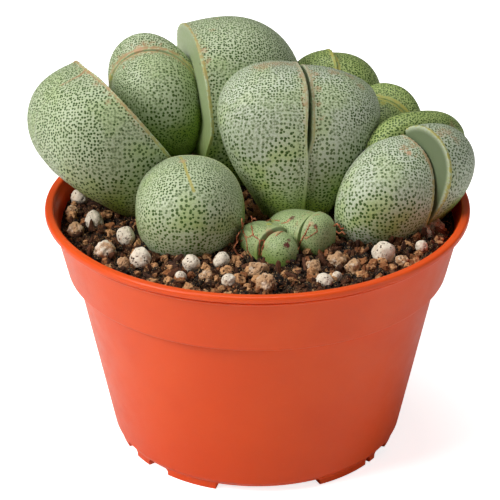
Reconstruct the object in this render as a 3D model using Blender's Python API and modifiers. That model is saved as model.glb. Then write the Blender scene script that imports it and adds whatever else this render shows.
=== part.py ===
"""Potted split rock: thick, stone-like leaf pairs in gritty soil, in a plastic nursery pot.

Metres, +Z up. The pot stands on z = 0. The sizes below are written in millimetres times MM.
"""
import math
import random

import bmesh
import bpy
from mathutils import Euler, Matrix, Vector
from mathutils.bvhtree import BVHTree

MM = 0.001
CLEARANCE = 0.3 * MM

# The pot, from its outer radii and heights
POT_SIDES = 52
POT_HEIGHT = 84.0 * MM
RIM_RADIUS = 70.0 * MM
RIM_INNER_RADIUS = 67.0 * MM
COLLAR_TOP_RADIUS = 67.4 * MM
COLLAR_BOTTOM_RADIUS = 63.1 * MM
COLLAR_BOTTOM_HEIGHT = 61.9 * MM
BODY_TOP_RADIUS = 60.3 * MM
BODY_BOTTOM_RADIUS = 48.9 * MM
BODY_BOTTOM_HEIGHT = 4.2 * MM
FOOT_RADIUS = 47.2 * MM
FOOT_WIDTH = 3.2 * MM
FOOT_HEIGHT = 2.8 * MM
FOOT_GAP_HEIGHT = 2.6 * MM
WALL = 1.5 * MM
FLOOR = 1.8 * MM
# Gaps in the foot ring, in degrees from the front, for the front half; the back half repeats them
FOOT_GAPS = [(-67, -58.5), (-50, -39), (-17, 26), (50, 53), (56.5, 66.5)]
DRAIN_HOLES = 6
DRAIN_HOLE_RADIUS = 4.0 * MM
DRAIN_CIRCLE_RADIUS = 34.0 * MM
DRAIN_TURN = 32

# The soil
SOIL_HEIGHT = 77.0 * MM
SOIL_MOUND = 1.5 * MM
SOIL_BUMP = 0.7 * MM
SOIL_SIDES = 40
SOIL_RINGS = 7
GRIT_SEED = 7
GRIT_TRIES = 370
GRIT_RADII = (1.7 * MM, 3.0 * MM)
# Pebbles in front of the plant, in millimetres: place across, depth, and radius
PEBBLES = [
    (-59.5, 11, 3.0), (-53.5, -7, 3.0), (-42.5, -20, 3.0), (-37, -35.5, 3.3), (-48.5, -30, 3.0),
    (-21, -40, 2.7), (-11.5, -36.5, 2.7), (-24, -46, 1.7), (-9, -50, 2.2), (40, -32, 3.7),
    (20.5, -50, 2.5), (24.5, -46, 1.7), (57.5, -10.5, 3.0), (-61.5, 1, 2.0), (-59, -13.5, 2.5),
    (-42.5, -37, 2.0), (-16, -47, 2.0), (0, -43.5, 2.7), (2.5, -53, 3.0), (25, -36.5, 2.5),
    (30, -40.5, 2.3), (17.5, -40, 2.3), (54.5, -16, 2.0), (52.5, -25.5, 2.2), (45.5, -35.5, 2.0),
]

# How far the space round a leaf stands off its skin, in millimetres
ROOM = 0.35


def new_material(name, colour, roughness):
    material = bpy.data.materials.new(name)
    material.use_nodes = True
    shader = material.node_tree.nodes["Principled BSDF"]
    shader.inputs["Base Color"].default_value = (*colour, 1.0)
    shader.inputs["Roughness"].default_value = roughness
    shader.inputs["Metallic"].default_value = 0.0
    return material


def add_object(name, mesh, collection, material=None):
    piece = bpy.data.objects.new(name, mesh)
    collection.objects.link(piece)
    if material:
        mesh.materials.append(material)
    return piece


def smooth(piece, sharp_angle=35):
    piece.data.shade_smooth()
    piece.data.set_sharp_from_angle(angle=math.radians(sharp_angle))


def turned(name, profile, sides, collection, material):
    """A profile of (radius, height) points, down its outer side, turned about Z."""
    mesh = bpy.data.meshes.new(name)
    points = [(radius, 0, height) for radius, height in profile]
    edges = [(number, number + 1) for number in range(len(points) - 1)]
    mesh.from_pydata(points, edges, [])
    piece = add_object(name, mesh, collection, material)
    screw = piece.modifiers.new("turn", "SCREW")
    screw.steps = sides
    screw.render_steps = sides
    screw.use_merge_vertices = True
    screw.merge_threshold = 0.00005
    return piece


def evaluated_copy(piece):
    """The piece as a plain mesh, with its modifiers applied."""
    graph = bpy.context.evaluated_depsgraph_get()
    return bpy.data.meshes.new_from_object(piece.evaluated_get(graph))


def cut_by(piece, cutter):
    modifier = piece.modifiers.new("clear of " + cutter.name, "BOOLEAN")
    modifier.operation = "DIFFERENCE"
    modifier.object = cutter


def new_cutter(name, mesh, cutters):
    cutter = add_object(name, mesh, cutters)
    cutter.hide_render = True
    cutter.display_type = "WIRE"
    return cutter


# Pot: one moulding, with a rolled rim, a collar, a step, a tapered body and a notched foot ring

def pot_profile():
    top = POT_HEIGHT
    lip = RIM_RADIUS
    outer = [
        (RIM_INNER_RADIUS + 0.5 * MM, top), (lip - 1.5 * MM, top), (lip - 0.4 * MM, top - 0.5 * MM),
        (lip, top - 1.4 * MM), (lip - 0.5 * MM, top - 2.3 * MM), (lip - 2.0 * MM, top - 2.6 * MM),
        (lip - 1.8 * MM, top - 3.3 * MM), (COLLAR_TOP_RADIUS, top - 4.0 * MM),
        (COLLAR_BOTTOM_RADIUS, COLLAR_BOTTOM_HEIGHT),
        (COLLAR_BOTTOM_RADIUS - 0.6 * MM, COLLAR_BOTTOM_HEIGHT - 0.7 * MM),
        (BODY_TOP_RADIUS, COLLAR_BOTTOM_HEIGHT - 1.0 * MM),
        (BODY_BOTTOM_RADIUS, BODY_BOTTOM_HEIGHT), (FOOT_RADIUS + 0.2 * MM, FOOT_HEIGHT), (FOOT_RADIUS, 0),
    ]
    under = [(FOOT_RADIUS - FOOT_WIDTH, 0), (FOOT_RADIUS - FOOT_WIDTH, FOOT_HEIGHT), (0, FOOT_HEIGHT)]
    inner = [
        (0, FOOT_HEIGHT + FLOOR), (FOOT_RADIUS - WALL, FOOT_HEIGHT + FLOOR),
        (BODY_BOTTOM_RADIUS - WALL, BODY_BOTTOM_HEIGHT + 2 * WALL),
        (BODY_TOP_RADIUS - WALL, COLLAR_BOTTOM_HEIGHT),
        (COLLAR_BOTTOM_RADIUS - WALL, COLLAR_BOTTOM_HEIGHT + WALL),
        (COLLAR_TOP_RADIUS - WALL, top - 4.0 * MM), (RIM_INNER_RADIUS, top - 2.0 * MM),
        (RIM_INNER_RADIUS, top - 0.5 * MM), (RIM_INNER_RADIUS + 0.5 * MM, top),
    ]
    return outer + under + inner


def foot_gap_mesh(start, end):
    """A wedge of ring, from start to end degrees, that cuts one gap in the foot ring."""
    mesh = bpy.data.meshes.new("foot_gap")
    shape = bmesh.new()
    inner = FOOT_RADIUS - FOOT_WIDTH - 1 * MM
    outer = FOOT_RADIUS + 2 * MM
    corners = [(inner, -1 * MM), (outer, -1 * MM), (outer, FOOT_GAP_HEIGHT), (inner, FOOT_GAP_HEIGHT)]
    section = [shape.verts.new((radius, 0, height)) for radius, height in corners]
    shape.faces.new(section)
    bmesh.ops.rotate(shape, verts=shape.verts, matrix=Matrix.Rotation(math.radians(start - 90), 3, "Z"))
    steps = max(1, round((end - start) / 5))
    bmesh.ops.spin(shape, geom=shape.faces[:], cent=(0, 0, 0), axis=(0, 0, 1),
                   angle=math.radians(end - start), steps=steps, use_normal_flip=False)
    bmesh.ops.remove_doubles(shape, verts=shape.verts, dist=0.00001)
    bmesh.ops.recalc_face_normals(shape, faces=shape.faces)
    shape.to_mesh(mesh)
    shape.free()
    return mesh


def make_pot(collection, cutters):
    material = new_material("pot_plastic", (0.80, 0.17, 0.06), 0.42)
    pot = turned("pot", pot_profile(), POT_SIDES, collection, material)
    for half in (0, 180):
        for start, end in FOOT_GAPS:
            cut_by(pot, new_cutter("foot_gap", foot_gap_mesh(start + half, end + half), cutters))
    for number in range(DRAIN_HOLES):
        angle = math.radians(DRAIN_TURN) + math.tau * number / DRAIN_HOLES
        mesh = bpy.data.meshes.new("drain_hole")
        shape = bmesh.new()
        place = Vector((math.cos(angle), math.sin(angle), 0)) * DRAIN_CIRCLE_RADIUS
        place.z = FOOT_HEIGHT + FLOOR / 2
        bmesh.ops.create_cone(shape, cap_ends=True, segments=12, radius1=DRAIN_HOLE_RADIUS,
                              radius2=DRAIN_HOLE_RADIUS, depth=3 * FLOOR, matrix=Matrix.Translation(place))
        shape.to_mesh(mesh)
        shape.free()
        cut_by(pot, new_cutter("drain_hole", mesh, cutters))
    return pot


# Leaves: each is half an egg, domed outside and on its inner face flat, dished or with a slight cheek

def leaf_point(unit, leaf):
    """Moves one point of a unit sphere to the leaf. The sphere's +Z is the dome, its -Z the inner face."""
    power = leaf["square"]
    reach = sum(abs(value) ** power for value in unit) ** (-1 / power)
    across, along, outwards = (value * reach for value in unit)
    height = (along + 1) / 2
    dome = max(outwards, 0)
    side = across * leaf["width"] / 2 * (1 + leaf["flare"] * (height - 0.6))
    up = height * leaf["height"] + leaf["brow"] * math.sin(math.pi * dome) * max(along, 0)
    out = dome * leaf["thick"] * (1 + leaf["belly"] * (height - 0.5))
    out += leaf["dish"] * (1 - (2 * height - 1) ** 2) + leaf["cheek"] * min(outwards, 0)
    point = Vector((out, side, up))
    turn = Matrix.Rotation(math.radians(leaf["azimuth"]), 3, "Z")
    lean = Matrix.Rotation(math.radians(leaf["lean"]), 3, "Y")
    roll = Matrix.Rotation(math.radians(-leaf["roll"]), 3, "X")
    point = turn @ lean @ roll @ point
    root = max(0, 1 - height / 0.3) ** 2 * leaf["root"]
    return point + Vector(leaf["at"]) - Vector((0, 0, root))


def leaf_mesh(name, leaf, growth=0.0):
    mesh = bpy.data.meshes.new(name)
    shape = bmesh.new()
    bmesh.ops.create_uvsphere(shape, u_segments=leaf["sides"], v_segments=leaf["rings"], radius=1)
    for vertex in shape.verts:
        vertex.co = leaf_point(vertex.co, leaf)
    shape.normal_update()
    bmesh.ops.triangulate(shape, faces=shape.faces)
    stand_off = [vertex.normal * growth * vertex.calc_shell_factor() for vertex in shape.verts]
    for vertex, step in zip(shape.verts, stand_off):
        vertex.co = (vertex.co + step) * MM
    shape.to_mesh(mesh)
    shape.free()
    return mesh


COMMON = dict(roll=0, flare=0.1, belly=0.0, square=2.3, dish=0.0, brow=0.0, cheek=0, root=0, sides=20,
              rings=9)
REAR = dict(COMMON, sides=16, rings=8)
SMALL = dict(COMMON, sides=16, rings=8)

# Millimetres and degrees. "at" is the middle of the leaf's foot, azimuth the way its dome looks (0 is
# right, 90 is back), lean tips it outwards, roll tips it sideways. A leaf is cut by those before it.
LEAVES = {
    "heart_left_leaf": dict(COMMON, at=(11.4, 4, 68), azimuth=189, lean=-2.5, roll=-1.5, width=37, height=61,
                            thick=22.5, flare=0.4, belly=1.2, brow=1.5),
    "heart_right_leaf": dict(COMMON, at=(12.8, 4, 68), azimuth=9, lean=3.7, roll=3, width=36, height=59.5,
                             thick=20.5, flare=0.4, belly=1.3),
    "egg_front_leaf": dict(COMMON, at=(-20.5, -15.8, 69), azimuth=-104, lean=-8, roll=-4, width=36,
                           height=36.5, thick=23.5, square=2.1),
    "egg_back_leaf": dict(REAR, at=(-20.4, -14.6, 71), azimuth=76, lean=5, width=29, height=30, thick=9,
                          square=2.1),
    "right_front_leaf": dict(COMMON, at=(42.5, -3, 66.5), azimuth=-138, lean=-4, roll=10, width=30,
                             height=43, thick=24, flare=0.2, belly=-0.2, square=2.1),
    "right_back_leaf": dict(COMMON, at=(43.6, -1.2, 68), azimuth=42, lean=2, roll=-20.5, width=26, height=48,
                            thick=23, flare=0.6, belly=0.3, square=2.1),
    "bud_left_leaf": dict(SMALL, at=(4.9, -29.1, 74), azimuth=132, lean=0, width=14, height=13.5, thick=14),
    "bud_right_leaf": dict(SMALL, at=(5.3, -30.3, 72.7), azimuth=-48, lean=2, width=11.6, height=14.5,
                           thick=8.3),
    "sprout_left_leaf": dict(SMALL, at=(17.2, -22.7, 73), azimuth=144, lean=1, width=15.5, height=16,
                             thick=16),
    "sprout_right_leaf": dict(SMALL, at=(17.5, -23.2, 73), azimuth=-38, lean=1, width=14, height=17, thick=7),
    "old_left_leaf": dict(COMMON, at=(-22.5, 23, 79.3), azimuth=208, lean=37, roll=4, width=46, height=62,
                          thick=28, belly=0.5, square=2.9, dish=1, brow=5.3, root=12),
    "old_right_leaf": dict(COMMON, at=(-17, 29, 64), azimuth=15, lean=-4, roll=0, width=45, height=69.5,
                           thick=35, flare=0.5, belly=0.4, brow=2.5),
    "young_front_leaf": dict(COMMON, at=(-23.3, 26, 90), azimuth=-94, lean=6, roll=-25, width=30, height=40,
                             thick=15.2, flare=0.4, belly=-0.2, square=2.0),
    "young_back_leaf": dict(REAR, at=(-23.4, 26.6, 89.6), azimuth=86, lean=-5, roll=25, width=31,
                            height=41, thick=14, flare=0.4, square=2.0, brow=6),
    "right_outer_leaf": dict(COMMON, at=(41, 13, 66), azimuth=117, lean=-20, roll=-10, width=40, height=50,
                             thick=12, flare=0.45, cheek=6),
    "rear_left_leaf": dict(REAR, at=(25.5, 44, 66), azimuth=192, lean=0.5, width=26, height=53, thick=15.5,
                           flare=0.3, belly=0.5),
    "rear_right_leaf": dict(REAR, at=(26, 44, 66), azimuth=12, lean=0.5, width=26, height=52, thick=16,
                            flare=0.3, belly=0.5),
    "corner_front_leaf": dict(REAR, at=(41.5, 27, 66), azimuth=240, lean=0.5, width=30, height=42.5,
                              thick=12),
    "corner_back_leaf": dict(REAR, at=(41.8, 27.4, 66), azimuth=60, lean=1, width=30, height=43, thick=14,
                             brow=4.5),
}


def make_leaves(collection, cutters):
    material = new_material("leaf_skin", (0.24, 0.33, 0.20), 0.55)
    rooms = []
    for name, leaf in LEAVES.items():
        piece = add_object(name, leaf_mesh(name, leaf), collection, material)
        low, high = bounds(piece)
        for room in rooms:
            room_low, room_high = bounds(room)
            if all(low[i] < room_high[i] and room_low[i] < high[i] for i in range(3)):
                cut_by(piece, room)
        rooms.append(new_cutter(name + "_room", leaf_mesh(name + "_room", leaf, ROOM), cutters))
        smooth(piece, 50)
    return rooms


def bounds(piece):
    corners = [piece.matrix_world @ Vector(corner) for corner in piece.bound_box]
    low = [min(corner[i] for corner in corners) for i in range(3)]
    high = [max(corner[i] for corner in corners) for i in range(3)]
    return low, high


# Soil: a bed that fills the pot, with its grit and bark fused in and a socket round each leaf

def soil_height(x, y):
    across = math.hypot(x, y) / RIM_INNER_RADIUS
    bumps = math.sin(x / (5 * MM)) * math.cos(y / (6 * MM)) + math.sin((x + 2 * y) / (9 * MM))
    return SOIL_HEIGHT + SOIL_MOUND * (1 - across ** 2) + SOIL_BUMP * bumps / 2


def make_soil(collection, rooms):
    inner_side = [
        (COLLAR_TOP_RADIUS - WALL - 1.0 * MM, SOIL_HEIGHT),
        (COLLAR_BOTTOM_RADIUS - WALL - 0.2 * MM, COLLAR_BOTTOM_HEIGHT + WALL),
        (BODY_TOP_RADIUS - WALL, COLLAR_BOTTOM_HEIGHT),
        (BODY_BOTTOM_RADIUS - WALL, BODY_BOTTOM_HEIGHT + 2 * WALL),
        (FOOT_RADIUS - WALL, FOOT_HEIGHT + FLOOR),
    ]
    side = [(radius - CLEARANCE, height + CLEARANCE) for radius, height in inner_side]
    side[0] = (side[0][0], SOIL_HEIGHT)
    top = [(side[0][0] * ring / SOIL_RINGS, SOIL_HEIGHT) for ring in range(SOIL_RINGS)]
    material = new_material("soil_mix", (0.06, 0.035, 0.02), 0.95)
    soil = turned("soil", top + side + [(0, side[-1][1])], SOIL_SIDES, collection, material)
    soil.data = evaluated_copy(soil)
    soil.modifiers.clear()
    bed = bmesh.new()
    bed.from_mesh(soil.data)
    for vertex in bed.verts:
        if vertex.co.z > SOIL_HEIGHT - 0.1 * MM:
            vertex.co.z = soil_height(vertex.co.x, vertex.co.y)
    bmesh.ops.triangulate(bed, faces=bed.faces)
    bed.to_mesh(soil.data)
    bed.free()

    bits = bpy.data.collections.new("bits")
    bpy.context.scene.collection.children.link(bits)
    draw = random.Random(GRIT_SEED)
    trees = []
    for room in rooms:
        corners = [vertex.co for vertex in room.data.vertices]
        trees.append(BVHTree.FromPolygons(corners, [face.vertices[:] for face in room.data.polygons]))

    def clear_of_leaves(place, radius):
        """False where the skin is near, or where a ray that goes up from the place leaves a leaf."""
        upwards = Vector((0, 0, 1))
        for tree in trees:
            skin_distance = tree.find_nearest(place)[3]
            hit_normal = tree.ray_cast(place, upwards)[1]
            inside = hit_normal is not None and hit_normal.dot(upwards) > 0
            if skin_distance < 0.8 * radius or inside:
                return False
        return True

    def add_bit(place, radius, scale, subdivisions):
        mesh = bpy.data.meshes.new("bit")
        shape = bmesh.new()
        turn = Euler([draw.uniform(0, math.tau) for _ in range(3)]).to_matrix().to_4x4()
        size = Matrix.Diagonal((*(value * radius for value in scale), 1))
        bmesh.ops.create_icosphere(shape, subdivisions=subdivisions, radius=1,
                                   matrix=Matrix.Translation(place) @ turn @ size)
        shape.to_mesh(mesh)
        shape.free()
        add_object("bit", mesh, bits)

    placed = []
    for x, y, radius in PEBBLES:
        place = Vector((x * MM, y * MM, 0))
        place.z = soil_height(place.x, place.y) + 0.35 * radius * MM
        placed.append((place, radius * MM))
        add_bit(place, radius * MM, (1.05, 0.95, 0.9), 2 if radius > 3 else 1)
    limit = side[0][0]
    for _ in range(GRIT_TRIES):
        radius = draw.uniform(*GRIT_RADII)
        distance = math.sqrt(draw.random()) * (limit - radius - 0.8 * MM)
        angle = draw.uniform(0, math.tau)
        place = Vector((distance * math.cos(angle), distance * math.sin(angle), 0))
        place.z = soil_height(place.x, place.y) + draw.uniform(-0.1, 0.35) * radius
        apart = all((place - other).length > 0.9 * (radius + size) for other, size in placed)
        if apart and clear_of_leaves(place, radius):
            placed.append((place, radius))
            add_bit(place, radius, [draw.uniform(0.8, 1.1) for _ in range(3)], 1)

    fuse = soil.modifiers.new("fuse", "BOOLEAN")
    fuse.operation = "UNION"
    fuse.operand_type = "COLLECTION"
    fuse.collection = bits
    fuse.solver = "MANIFOLD"
    soil.data = evaluated_copy(soil)
    soil.modifiers.clear()
    for bit in list(bits.objects):
        bpy.data.objects.remove(bit)
    bpy.data.collections.remove(bits)
    for room in rooms:
        cut_by(soil, room)
    return soil


def centre_on_origin(part, cutters):
    """Puts the middle of the whole part's box over the origin. The old pair hangs out over the rim."""
    points = [vertex.co for piece in part.objects for vertex in evaluated_copy(piece).vertices]
    low = [min(point[axis] for point in points) for axis in (0, 1)]
    high = [max(point[axis] for point in points) for axis in (0, 1)]
    middle = Vector(((low[0] + high[0]) / 2, (low[1] + high[1]) / 2, 0))
    for piece in [*part.objects, *cutters.objects]:
        piece.location -= middle


def main():
    for old in list(bpy.data.objects):
        bpy.data.objects.remove(old)
    part = bpy.data.collections.new("potted_split_rock")
    cutters = bpy.data.collections.new("cutters")
    for collection in (part, cutters):
        bpy.context.scene.collection.children.link(collection)
    make_pot(part, cutters)
    rooms = make_leaves(part, cutters)
    make_soil(part, rooms)
    centre_on_origin(part, cutters)


main()
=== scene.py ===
"""Looks of the potted split rock: fine leaves, gritty soil, moulded pot, floor, lights and camera.

Metres, +Z up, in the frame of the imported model. Sizes are written in millimetres times MM.
"""
import math
import random

import bmesh
import bpy
import numpy as np
from mathutils import Euler, Matrix, Vector
from mathutils.bvhtree import BVHTree
from mathutils.noise import noise as smooth_noise


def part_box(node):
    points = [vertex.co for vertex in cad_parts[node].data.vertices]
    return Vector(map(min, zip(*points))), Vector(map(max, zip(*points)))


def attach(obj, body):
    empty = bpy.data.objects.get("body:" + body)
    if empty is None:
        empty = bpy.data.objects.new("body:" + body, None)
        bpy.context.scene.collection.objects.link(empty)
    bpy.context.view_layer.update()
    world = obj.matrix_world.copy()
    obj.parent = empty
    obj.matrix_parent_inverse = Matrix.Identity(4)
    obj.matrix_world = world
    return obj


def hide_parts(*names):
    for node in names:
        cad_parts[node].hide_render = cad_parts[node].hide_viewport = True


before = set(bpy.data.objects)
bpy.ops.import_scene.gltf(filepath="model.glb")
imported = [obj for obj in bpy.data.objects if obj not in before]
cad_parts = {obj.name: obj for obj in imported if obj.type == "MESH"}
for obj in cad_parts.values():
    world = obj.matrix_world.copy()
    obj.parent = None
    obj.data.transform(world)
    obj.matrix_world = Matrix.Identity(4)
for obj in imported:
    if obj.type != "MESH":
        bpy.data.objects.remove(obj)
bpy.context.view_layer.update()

# Pot. A thin nursery pot, injection moulded in orange plastic in one piece: a rolled lip, a groove
# and a bead under it, a collar, a step, a tapered body, a floor with drain holes and a notched foot.

MM = 0.001
pot_low, pot_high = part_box("pot")
pot_axis = Vector(((pot_low.x + pot_high.x) / 2, (pot_low.y + pot_high.y) / 2, 0))
POT_SIDES = 288
POT_HEIGHT = 84.0
LIP_RADIUS = 70.0
LIP_INNER_RADIUS = 67.0
COLLAR_TOP_RADIUS = 67.4
COLLAR_FOOT_RADIUS = 63.1
COLLAR_FOOT_HEIGHT = 61.9
BODY_TOP_RADIUS = 60.3
BODY_FOOT_RADIUS = 48.9
BODY_FOOT_HEIGHT = 4.2
FOOT_RADIUS = 47.2
FOOT_WIDTH = 3.2
FOOT_HEIGHT = 2.8
FOOT_GAP_HEIGHT = 2.6
FOOT_GAPS = [(-67, -58.5), (-50, -39), (-17, 26), (50, 53), (56.5, 66.5)]
GAP_ROUNDING = 0.9
CUT_INSIDE = 0.6
CUT_OUTSIDE = 2.5
CUT_BELOW = 1
WALL = 1.5
FLOOR = 1.8
DRAIN_HOLES = 6
DRAIN_HOLE_RADIUS = 4.0
DRAIN_HOLE_TAPER = 0.2
DRAIN_CIRCLE_RADIUS = 34.0
DRAIN_TURN = 32


def rounded_outline(corners, steps=5):
    """Corners (x, y, rounding radius), each turned into an arc-like run of points."""
    points = []
    for number, (x, y, radius) in enumerate(corners):
        here = Vector((x, y))
        before = Vector(corners[number - 1][:2]) - here
        after = Vector(corners[(number + 1) % len(corners)][:2]) - here
        reach = min(radius, 0.45 * before.length, 0.45 * after.length)
        start, end = here + before.normalized() * reach, here + after.normalized() * reach
        if reach < 0.05:
            points.append(here)
            continue
        for step in range(steps + 1):
            share = step / steps
            points.append(start * (1 - share) ** 2 + here * 2 * share * (1 - share) + end * share ** 2)
    return points


def new_piece(name, mesh, material=None):
    piece = bpy.data.objects.new(name, mesh)
    bpy.context.scene.collection.objects.link(piece)
    if material:
        mesh.materials.clear()
        mesh.materials.append(material)
    return piece


def mesh_from(shape, name):
    """Turns a BMesh into a mesh, and frees it."""
    mesh = bpy.data.meshes.new(name)
    shape.to_mesh(mesh)
    shape.free()
    return mesh


def applied(piece):
    """Turns a piece's modifiers into plain mesh."""
    graph = bpy.context.evaluated_depsgraph_get()
    mesh = bpy.data.meshes.new_from_object(piece.evaluated_get(graph))
    piece.modifiers.clear()
    piece.data = mesh


def grown(piece, tree, sockets, values):
    """Runs a Geometry Nodes tree on a piece with these inputs, and turns the result into plain mesh."""
    modifier = piece.modifiers.new(tree.name, "NODES")
    modifier.node_group = tree
    for title, value in values.items():
        modifier[sockets[title]] = value
    applied(piece)


def nodes_for(name, roughness, **constants):
    """A new material with a Principled shader, and the constants set on the shader's own sockets. Gives
    the material, its node tree, and the place on the object that its textures read."""
    material = bpy.data.materials.new(name)
    material.use_nodes = True
    tree = material.node_tree
    shader = tree.nodes["Principled BSDF"]
    shader.inputs["Roughness"].default_value = roughness
    for socket, value in constants.items():
        shader.inputs[socket.replace("_", " ")].default_value = value
    return material, tree, add(tree, "ShaderNodeTexCoord").outputs["Object"]


def add(tree, kind, inputs=None, **settings):
    """Adds a node. Inputs are given by name or number, as a value or as another node's output."""
    made = tree.nodes.new(kind)
    for setting, value in settings.items():
        setattr(made, setting, value)
    for key, value in (inputs or {}).items():
        if isinstance(value, bpy.types.NodeSocket):
            tree.links.new(value, made.inputs[key])
        else:
            made.inputs[key].default_value = value
    return made


def node_group(name, inputs):
    """A Geometry Nodes tree with one mesh output, its inputs' values, and their sockets' identifiers."""
    tree = bpy.data.node_groups.new(name, "GeometryNodeTree")
    sockets = {}
    for title, kind in inputs.items():
        socket = tree.interface.new_socket(title, in_out="INPUT", socket_type="NodeSocket" + kind)
        sockets[title] = socket.identifier
    tree.interface.new_socket("Mesh", in_out="OUTPUT", socket_type="NodeSocketGeometry")
    return tree, tree.nodes.new("NodeGroupInput").outputs, sockets


def end_group(tree, geometry, material):
    """Makes copies real, sets the material and hands the mesh over."""
    real = add(tree, "GeometryNodeRealizeInstances", {0: geometry})
    painted = add(tree, "GeometryNodeSetMaterial", {0: real.outputs[0], "Material": material})
    add(tree, "NodeGroupOutput", {0: painted.outputs[0]})


def maths(tree, operation, *values):
    """A Math node's output."""
    return add(tree, "ShaderNodeMath", dict(enumerate(values)), operation=operation).outputs[0]


def times(tree, one, other):
    return maths(tree, "MULTIPLY", one, other)


def ramp(tree, value, low, high, start=0.0, end=1.0):
    """A smooth step of the value, from start at low to end at high."""
    inputs = {"Value": value, "From Min": low, "From Max": high, "To Min": start, "To Max": end}
    return add(tree, "ShaderNodeMapRange", inputs, interpolation_type="SMOOTHSTEP").outputs[0]


def mixed(tree, share, one, other, blend="MIX"):
    """Colour one where the share is 0, the other where it is 1."""
    return add(tree, "ShaderNodeMix", {0: share, 6: one, 7: other}, data_type="RGBA",
               blend_type=blend).outputs[2]


def spots(tree, place, scale, detail=2.0, roughness=0.5):
    """A Noise texture's value, from about 0.3 to 0.7. The scale is in cells a metre."""
    inputs = {"Vector": place, "Scale": scale, "Detail": detail, "Roughness": roughness}
    return add(tree, "ShaderNodeTexNoise", inputs).outputs[0]


def finished(material, colour, height, distance, roughness=None):
    """Joins the colour, a height in units of the distance in metres, and the roughness to the shader."""
    tree = material.node_tree
    shader = tree.nodes["Principled BSDF"]
    tree.links.new(colour, shader.inputs["Base Color"])
    if roughness is not None:
        tree.links.new(roughness, shader.inputs["Roughness"])
    bump = add(tree, "ShaderNodeBump", {"Strength": 1.0, "Distance": distance, "Height": height})
    tree.links.new(bump.outputs[0], shader.inputs["Normal"])
    return material


def pot_plastic():
    material, tree, place = nodes_for("orange_pot_plastic", 0.35, Specular_IOR_Level=0.3,
                                      Subsurface_Weight=0.08, Subsurface_Scale=0.004,
                                      Subsurface_Radius=(1.0, 0.35, 0.12))
    height = add(tree, "ShaderNodeSeparateXYZ", {0: place}).outputs[2]
    clouds = spots(tree, place, 45, 3)
    colour = mixed(tree, ramp(tree, clouds, 0.3, 0.7), (0.76, 0.076, 0.008, 1), (0.80, 0.088, 0.010, 1))
    # Painted shade: the orange darkens towards a deeper orange low on the pot's body.
    painted_shade_low = ramp(tree, height, 60 * MM, 0, 0.0, 0.35)
    colour = mixed(tree, painted_shade_low, colour, (0.68, 0.063, 0.007, 1))
    scuffs = ramp(tree, spots(tree, place, 900, 3, 0.7), 0.62, 0.74, 0.0, 0.10)
    colour = mixed(tree, scuffs, colour, (0.85, 0.24, 0.08, 1))
    roughness = ramp(tree, spots(tree, place, 160, 4, 0.6), 0.3, 0.7, 0.29, 0.38)
    return finished(material, colour, spots(tree, place, 2600, 2), 0.03 * MM, roughness)


def turned_wall_tree():
    """Geometry Nodes: sweeps the outline that it is given round a circle, and sets the material."""
    tree, given, sockets = node_group("turned_wall", {"Outline": "Geometry", "Sides": "Int",
                                                      "Radius": "Float", "Material": "Material"})
    circle = add(tree, "GeometryNodeCurvePrimitiveCircle",
                 {"Resolution": given["Sides"], "Radius": given["Radius"]})
    outline = add(tree, "GeometryNodeMeshToCurve", {0: given["Outline"]})
    swept = add(tree, "GeometryNodeCurveToMesh",
                {"Curve": circle.outputs[0], "Profile Curve": outline.outputs[0]})
    smooth = add(tree, "GeometryNodeSetShadeSmooth", {0: swept.outputs[0]})
    end_group(tree, smooth.outputs[0], given["Material"])
    return tree, sockets


def pot_outline():
    """The pot's section, round and closed: down the outside, in under the floor and up the inside."""
    top, lip, foot_inner = POT_HEIGHT, LIP_RADIUS, FOOT_RADIUS - FOOT_WIDTH
    floor_top = FOOT_HEIGHT + FLOOR
    return rounded_outline([
        (LIP_INNER_RADIUS + 0.1, top, 1.0), (lip, top, 1.3), (lip, top - 2.2, 0.7),
        (lip - 2.2, top - 2.5, 0.35), (lip - 2.2, top - 2.9, 0.2), (lip - 1.5, top - 3.1, 0.5),
        (lip - 1.8, top - 3.9, 0.5), (COLLAR_TOP_RADIUS - 0.2, top - 4.2, 0.6),
        (COLLAR_FOOT_RADIUS, COLLAR_FOOT_HEIGHT, 0.7), (BODY_TOP_RADIUS, COLLAR_FOOT_HEIGHT - 1.0, 0.7),
        (BODY_FOOT_RADIUS, BODY_FOOT_HEIGHT, 1.2), (FOOT_RADIUS + 0.2, FOOT_HEIGHT, 0.8),
        (FOOT_RADIUS, 0, 0.35), (foot_inner, 0, 0.35), (foot_inner, FOOT_HEIGHT, 0.5),
        (2.2, FOOT_HEIGHT, 0.3), (2.0, FOOT_HEIGHT - 0.5, 0.2), (0, FOOT_HEIGHT - 0.5, 0),
        (0, floor_top, 0), (FOOT_RADIUS - WALL, floor_top, 1.0),
        (BODY_FOOT_RADIUS - WALL, BODY_FOOT_HEIGHT + 2 * WALL, 2.0),
        (BODY_TOP_RADIUS - WALL, COLLAR_FOOT_HEIGHT, 0.8),
        (COLLAR_FOOT_RADIUS - WALL, COLLAR_FOOT_HEIGHT + WALL, 0.8),
        (COLLAR_TOP_RADIUS - WALL, top - 4.0, 1.5), (LIP_INNER_RADIUS, top - 2.0, 1.0),
    ])


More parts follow.
